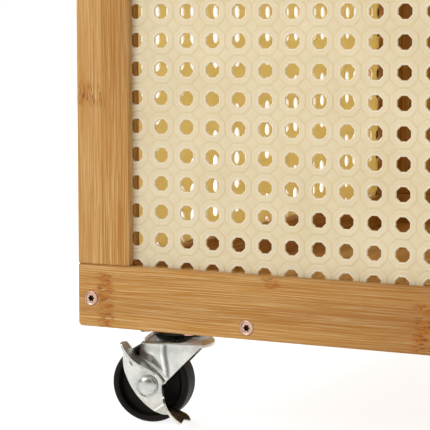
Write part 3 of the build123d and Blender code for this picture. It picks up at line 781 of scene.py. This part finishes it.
def make_axle(name, matrix, material, near):
    """Rivet with a high domed head outside and a flatter one inside."""
    far = -CHEEK_OUT
    dome = [(4.62 * math.sin(t), near + 0.1 + 2.05 * math.cos(t) ** 1.25) for t in np.linspace(0.0, 1.5, 12)]
    profile = [*dome, (4.70, near - 0.1), (AXLE_R, near - 0.1), (AXLE_R, far), (4.6, far),
               (4.5, far - 0.5), (3.6, far - 1.1), (2.2, far - 1.6), (0.0, far - 1.75)]
    soup = Soup()
    soup.turned(profile, 56, lambda r, a, h: (r * math.cos(a) - TRAIL, -h, r * math.sin(a) + WHEEL_R))

    def shade(point, normal):
        # Painted reflection: a dark band across the dome where it would mirror a dark band of the studio, and a
        # little painted shade on the other faces.
        return 0.55 * hump(normal.z, 0.36, 0.14) if abs(normal.y) > 0.3 else 0.1

    return soup.piece(
        name + "_axle_rivet", matrix, material, name + "_caster", "zinc", [name + "_axle"], shade
    )


def lever_relief(x, z):
    """Height of the lever plate's face: a pressed ring, a low crown and a folded heel."""
    r = math.hypot(x, z)
    ring = 0.28 * hump(r, 5.9, 0.7) - 0.22 * hump(r, 5.0, 0.5)
    crown = 0.22 * (1 - smoothstep(r, 6.5, 18.0))
    crease = 0.68 * (x - 3.5) - 12.4 - z  # mm below the line where the heel is folded
    fold = 0.45 * smoothstep(crease, -0.2, 1.6) - 0.22 * hump(crease, -0.9, 0.7)
    return ring + crown - fold


def smooth_line(points, per):
    """A curve through points, with some steps between each pair."""
    pts = [Vector(p) for p in points]
    pts = [2 * pts[0] - pts[1], *pts, 2 * pts[-1] - pts[-2]]
    line = []
    for a, b, c, d in zip(pts, pts[1:], pts[2:], pts[3:]):
        for k in range(per):
            t = k / per
            bend, twist = 2 * a - 5 * b + 4 * c - d, 3 * b - a - 3 * c + d
            line.append(0.5 * (2 * b + (c - a) * t + bend * t * t + twist * t**3))
    return line + [pts[-2]]


def tongue(soup, outer_edge, inner_edge, notch=0.0):
    """A sheet between two edges with as many points each; notch, in mm, cuts into its end."""
    edges = [smooth_line(edge, 5) for edge in (outer_edge, inner_edge)]
    sheets = ([], [])
    count = len(edges[0])
    for k in range(count):
        here, there = edges[0][k], edges[1][k]
        ahead, behind = min(k + 1, count - 1), max(k - 1, 0)
        run = (edges[0][ahead] - edges[0][behind]) + (edges[1][ahead] - edges[1][behind])
        normal = run.cross(Vector((0, 1, 0))).normalized()
        bite = notch * smoothstep(k, count - 9.0, count - 1.0)
        back = run.normalized() * bite
        row = [there.lerp(here, t) - back * (1 - abs(2 * t - 1)) for t in np.linspace(0, 1, 11)]
        for sheet, half in zip(sheets, (TONGUE_HALF, -TONGUE_HALF)):
            sheet.append([tuple(p + normal * half) for p in row])
    soup.slab(*sheets)


def make_lever(name, matrix, material):
    """Stamped rocker: a pressed plate on the axle, a rounded foot tab above and a forked one below."""
    soup = Soup()
    closed = [Vector(p) for p in LEVER_OUTLINE]
    lap, per = 2, 5
    looped = smooth_line([*closed[-lap:], *closed, *closed[:lap]], per)
    outline = looped[lap * per : -lap * per]
    middle = Vector((-1.0, 1.0))
    outer, inner = [], []
    for t in np.linspace(0.0, 1.0, 34):
        line = [middle.lerp(p, t) for p in outline]
        edge = 0.25 * smoothstep(t, 0.96, 1.0)
        outer.append([(x, LEVER_IN + LEVER_THICK - 0.25 + lever_relief(x, z) - edge, z) for x, z in line])
        inner.append([(x, LEVER_IN + 0.02, z) for x, z in line])
    soup.grid(outer, closed=True)
    soup.grid([row[::-1] for row in inner], closed=True)
    soup.grid([outer[-1], inner[-1]], closed=True)
    tongue(soup, *UPPER_TONGUE)
    tongue(soup, *LOWER_TONGUE, notch=1.6)
    soup.points = [(x - TRAIL, -y, z + WHEEL_R) for x, y, z in soup.points]

    def shade(point, normal):
        # Painted shade and highlights on the plating: black at the lower tongue's root and on its face, darker on
        # the upper tongue, dark in the slot and in a ring round the axle, a painted highlight along the fold and
        # painted shade on the facet below it, and a faint painted highlight on the tongues' other faces.
        x, out, z = point.x + TRAIL, -point.y, point.z - WHEEL_R
        root = x > 6.9 and -8.6 < z < -3.5 and out < 15.5 and (out > 11.95 or x > 5.7 - 0.43 * z)
        if root or (x > 6.4 and -8.0 < z < -0.9 and out < 11.6):
            return 0.9
        if out > LEVER_IN + LEVER_THICK + 1.0 or abs(normal.y) < 0.5:
            if z < 0.0:
                return 0.95 if normal.x > 0.25 and abs(normal.y) < 0.5 else -0.2
            return 0.55 if normal.z > 0.25 and abs(normal.y) < 0.5 else 0.0
        crease = 0.68 * (x - 3.5) - 12.4 - z
        slot = (1 - smoothstep(abs(0.57 * (x + 8.3) - 0.82 * (z - 10.4)), 1.1, 1.7)) * (
            1 - smoothstep(abs(0.82 * (x + 8.3) + 0.57 * (z - 10.4)), 0.2, 0.6)
        )
        r = math.hypot(x, z)
        ring = 0.30 * hump(r, 5.1, 0.35) + 0.10 * hump(r, 6.6, 0.4)
        return 0.8 * slot + ring - 0.9 * hump(crease, -0.5, 0.5) + 0.16 * smoothstep(crease, 0.0, 0.6)

    return soup.piece(
        name + "_brake_pressing", matrix, material, name + "_brake", "zinc", [name + "_brake_lever"], shade
    )


def make_casters(zinc, black):
    """A fork, a wheel and an axle at each corner, and a lever where there is a brake."""
    braked = {j["name"].split("_brake")[0] for j in frame["joints"] if "brake" in j["name"]}
    for name in ("front_left", "front_right", "rear_left", "rear_right"):
        matrix = caster_matrix(name)
        make_fork(name, matrix, zinc)
        make_wheel(name, matrix, black)
        make_axle(name, matrix, zinc, LEVER_IN + 1.5 if name in braked else CHEEK_OUT)
        if name in braked:
            make_lever(name, matrix, zinc)


LEAF_THICK, LEAF_HALF = 1.2, 15.0  # a hinge leaf's thickness and half its width, mm
HINGE_SCREW_R = 2.1


def screw_head(soup, centre, outward, radius):
    """A low domed head with a cross recess, its back on a face; outward is the axis it looks along."""
    axis = Vector(outward)
    side = axis.cross(Vector((0, 0, 1))).normalized()
    up = side.cross(axis)
    rows = []
    for r in np.linspace(0.0, radius, 14):
        row = []
        for k in range(32):
            a = 2 * math.pi * k / 32
            x, y = r * math.cos(a), r * math.sin(a)
            cross = (abs(x) < 0.28 or abs(y) < 0.28) and r < 0.62 * radius
            height = 0.75 * (1 - 0.55 * (r / radius) ** 2) - (0.45 if cross else 0.0)
            row.append(Vector(centre) + side * x + up * y + axis * height)
        rows.append(row)
    rim = [p - axis * (p - Vector(centre)).dot(axis) for p in rows[-1]]
    soup.grid(rows + [rim, [Vector(centre)] * 32], closed=True)


def ring_front_screws(material):
    """A turned rim on the head of each screw in the front frame."""
    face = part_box("front_screws")[0].y / MM
    heads = []
    for v in frame["nodes"]["front_screws"].data.vertices:
        x, y, z = v.co / MM
        if y < face + 0.05 and all(math.dist((x, z), head[0]) > 8.0 for head in heads):
            heads.append(((x, z), []))
        if y < face + 0.05:
            next(found for centre, found in heads if math.dist((x, z), centre) <= 8.0).append((x, z))
    soup = Soup()
    profile = [(2.55, -0.1), (2.7, 0.04), (2.9, 0.16), (3.1, 0.18), (3.36, 0.09), (3.45, -0.1), (2.55, -0.1)]
    for _, found in heads:
        cx, cz = ((min(c) + max(c)) / 2 for c in zip(*found))
        soup.turned(profile, 40, lambda r, a, h: (cx + r * math.cos(a), face - h, cz + r * math.sin(a)))

    def shade(point, normal):
        # Painted shadow and highlight: a dark outline where the rim faces right and down, a painted highlight
        # where it faces right and up.
        outline = 1.7 * smoothstep(normal.x - 0.3 * normal.z, 0.15, 0.45)
        return outline - 0.5 * smoothstep(normal.x + 0.6 * normal.z, 0.10, 0.30)

    soup.piece("front_screw_rims", Matrix.Identity(4), material, "body", "screw_zinc", shade=shade)


def make_hinge_screws(material):
    """Two small screws in each hinge leaf."""
    fixed_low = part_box("hinge_fixed_leaves")[0] / MM
    for side in ("left", "right"):
        low, high = (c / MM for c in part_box(f"lid_{side}_hinge_leaves"))
        face = low.y + LEAF_THICK
        lid_soup, body_soup = Soup(), Soup()
        for x in (low.x + LEAF_HALF, high.x - LEAF_HALF):
            for shift in (-9.0, 9.0):
                screw_head(lid_soup, (x + shift, face, high.z - 5.0), (0, 1, 0), HINGE_SCREW_R)
                screw_head(body_soup, (x + shift, face, fixed_low.z + 7.0), (0, 1, 0), HINGE_SCREW_R)
        lid_soup.piece(f"lid_{side}_hinge_screws", Matrix.Identity(4), material, f"lid_{side}", "screw_zinc")
        body_soup.piece(f"body_{side}_hinge_screws", Matrix.Identity(4), material, "body", "screw_zinc")


# ---------------------------------------------------------------- camera, light and stage
def studio():
    """Camera low at the left front corner, a white floor and a soft studio round it."""
    low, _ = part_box("front_bottom_rail")
    scene = bpy.context.scene
    scene.view_settings.view_transform = "Standard"

    camera = bpy.data.objects.new("camera", bpy.data.cameras.new("camera"))
    scene.collection.objects.link(camera)
    camera.data.sensor_width = 36.0
    camera.data.lens = 152.4
    camera.data.clip_start, camera.data.clip_end = 0.05, 80.0
    camera.location = (low.x + 0.4388, low.y - 0.7400, low.z + 0.1477)
    azimuth, elevation = math.radians(26.32), math.radians(6.30)
    level = math.cos(elevation)
    back = Vector((math.sin(azimuth) * level, -math.cos(azimuth) * level, math.sin(elevation)))
    camera.rotation_mode = "QUATERNION"
    camera.rotation_quaternion = (-back).to_track_quat("-Z", "Y")
    scene.camera = camera

    world = bpy.data.worlds.new("studio")
    world.use_nodes = True
    scene.world = world
    tree = world.node_tree
    background = tree.nodes["Background"]
    sky = Shader.__new__(Shader)
    sky.tree = tree
    x, y, z = sky.split(tree.nodes.new("ShaderNodeTexCoord").outputs["Generated"])
    wall = sky.ramp(x, -0.8, 0.8, 0.62, 0.16)
    ceiling = sky.ramp(z, 0.60, 0.82)
    above = sky.add(sky.times(wall, sky.math("SUBTRACT", 1.0, ceiling)), sky.times(ceiling, 1.0))
    lifted = sky.ramp(z, 0.10, 0.24)
    strength = sky.add(sky.times(above, lifted), sky.times(sky.math("SUBTRACT", 1.0, lifted), 1.0))
    sky.put(background.inputs["Strength"], strength)
    background.inputs["Color"].default_value = (1.0, 1.0, 1.0, 1.0)

    def lamp(name, place, aim, size, power):
        data = bpy.data.lights.new(name, "AREA")
        data.shape, data.size, data.energy = "DISK", size, power
        light = bpy.data.objects.new(name, data)
        scene.collection.objects.link(light)
        light.location = place
        light.rotation_mode = "QUATERNION"
        light.rotation_quaternion = (Vector(aim) - Vector(place)).to_track_quat("-Z", "Y")

    aim = (0.0, 0.0, 0.3)
    lamp("key", (-1.7, -2.2, 1.9), aim, 1.5, 43.0)
    lamp("fill", (2.2, -2.2, 1.6), aim, 1.2, 7.0)
    lamp("left", (-2.4, 0.8, 1.3), aim, 1.5, 72.0)
    lamp("rear", (0.6, 2.6, 1.6), aim, 1.4, 42.0)

    reach = 40.0
    mesh = bpy.data.meshes.new("floor")
    corners = [(-reach, -reach, 0), (reach, -reach, 0), (reach, reach, 0), (-reach, reach, 0)]
    mesh.from_pydata(corners, [], [(0, 1, 2, 3)])
    floor = bpy.data.objects.new("floor", mesh)
    scene.collection.objects.link(floor)
    s = Shader("floor_paint")
    s.set(Base_Color=(0.22, 0.22, 0.22), Roughness=0.8, Specular_IOR_Level=0.0)
    s.set(Emission_Color=(1.0, 1.0, 1.0), Emission_Strength=0.86)
    mesh.materials.append(s.material)


studio()
dress_bars()
weave_panels()
zinc = zinc_material("zinc", *PLATING, 0.29)
screw_zinc = zinc_material("screw_zinc", *SCREW_PLATING, 0.32)
black = black_material()
by_slot = {"zinc": zinc, "screw_zinc": screw_zinc, "black_plastic": black}
for part in frame["record"]["subparts"]:
    if part["material_slot"] in by_slot:
        paint(part["node"], by_slot[part["material_slot"]])
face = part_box("front_screws")[0].y / MM
# Painted shade inside the sockets of the front screws.
paint("front_screws", zinc_material("front_screw_zinc", *SCREW_PLATING, 0.32, face=face))
# Painted black below 46.4 mm: painted shadow and dark reflections in the gap under the rail, over a greased race.
paint("caster_plates", zinc_material("plate_zinc", *PLATING, 0.29, shadow_and_grease_below=46.4))
make_casters(zinc, black)
ring_front_screws(screw_zinc)
make_hinge_screws(screw_zinc)
